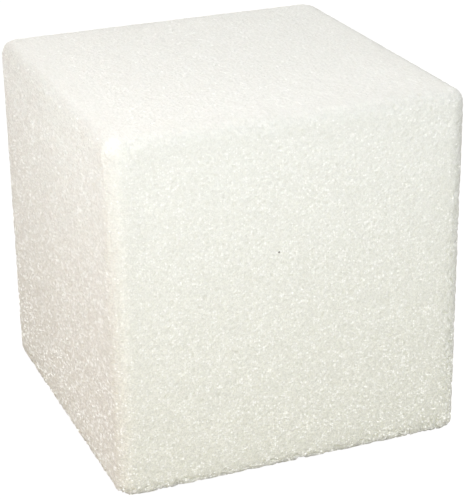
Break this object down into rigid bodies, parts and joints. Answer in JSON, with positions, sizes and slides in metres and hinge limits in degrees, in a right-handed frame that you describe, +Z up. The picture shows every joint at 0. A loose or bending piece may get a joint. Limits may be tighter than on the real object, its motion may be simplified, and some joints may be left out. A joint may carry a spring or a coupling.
{
  "type": "foam block",
  "caption": "Rigid coarse-celled foam block with eased edges, an equal-sided craft cube that stands on a flat face and takes pins, picks and glue.",
  "frame": {"origin": "centre of the flat face the block stands on", "axes": "+Z up through the middle of the block; +X to the right and -Y to the front, square to the side faces"},
  "size_m": [0.127, 0.127, 0.127],
  "materials": {
    "white_foam": "coarse open-celled rigid polystyrene foam, off-white, sawn faces of cut cells with thin glinting rims"
  },
  "bodies": {
    "root": {"foam_block": "white_foam"}
  },
  "joints": []
}
